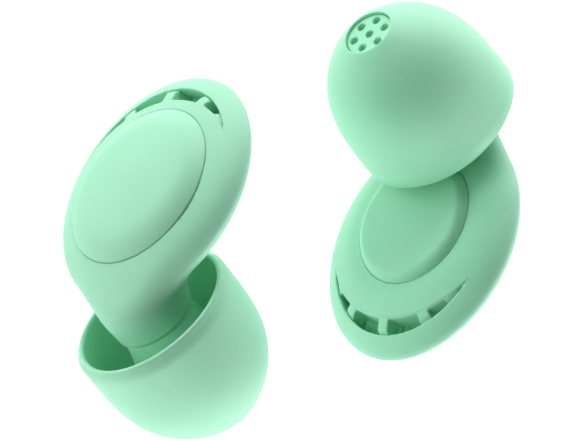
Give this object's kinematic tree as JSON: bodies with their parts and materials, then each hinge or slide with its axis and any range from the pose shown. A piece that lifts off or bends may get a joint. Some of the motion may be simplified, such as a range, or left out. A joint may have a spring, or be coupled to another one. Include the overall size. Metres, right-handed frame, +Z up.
{
  "type": "ear plugs",
  "caption": "Pair of reusable silicone ear plugs: domed oval bodies with raised pads and crescent vents, hollow stems with acoustic filters, and removable dome tips.",
  "frame": {"origin": "on the surface the plugs stand on, at the middle of the pair's footprint", "axes": "+Z up; +X from the left plug to the right one; +Y roughly along the left plug's stem, from its tip to its body"},
  "size_m": [0.0456, 0.0318, 0.0171],
  "materials": {
    "body_silicone": "soft matte silicone with a fine moulded grain",
    "pad_silicone": "satin soft-touch silicone",
    "vent_silicone": "soft matte silicone",
    "tip_silicone": "soft, slightly translucent matte silicone",
    "stem_plastic": "moulded matte plastic",
    "grille_plastic": "moulded matte plastic",
    "filter_plastic": "moulded satin plastic",
    "mesh_fabric": "fine woven acoustic mesh",
    "retainer_plastic": "moulded matte plastic"
  },
  "bodies": {
    "left_body": {"left_outer_shell": "body_silicone", "left_inner_shell": "body_silicone", "left_outer_pad": "pad_silicone", "left_inner_pad": "pad_silicone", "left_vent_grille": "vent_silicone", "left_nozzle_stem": "stem_plastic", "left_nozzle_grille": "grille_plastic", "left_filter_housing": "filter_plastic", "left_filter_mesh": "mesh_fabric", "left_filter_retainer": "retainer_plastic"},
    "right_body": {"right_outer_shell": "body_silicone", "right_inner_shell": "body_silicone", "right_outer_pad": "pad_silicone", "right_inner_pad": "pad_silicone", "right_vent_grille": "vent_silicone", "right_nozzle_stem": "stem_plastic", "right_nozzle_grille": "grille_plastic", "right_filter_housing": "filter_plastic", "right_filter_mesh": "mesh_fabric", "right_filter_retainer": "retainer_plastic"},
    "left_tip": {"left_ear_tip": "tip_silicone"},
    "right_tip": {"right_ear_tip": "tip_silicone"}
  },
  "joints": [
    {"name": "left_tip_pull", "type": "slide", "parent": "left_body", "child": "left_tip", "axis": [0, -0.9986, 0.0523], "range_m": [0, 0.01]},
    {"name": "right_plug_lift", "type": "slide", "parent": "left_body", "child": "right_body", "axis": [0, 0, 1], "range_m": [0, 0.04]},
    {"name": "right_tip_pull", "type": "slide", "parent": "right_body", "child": "right_tip", "axis": [-0.0974, 0.9939, 0.0523], "range_m": [0, 0.01]}
  ]
}
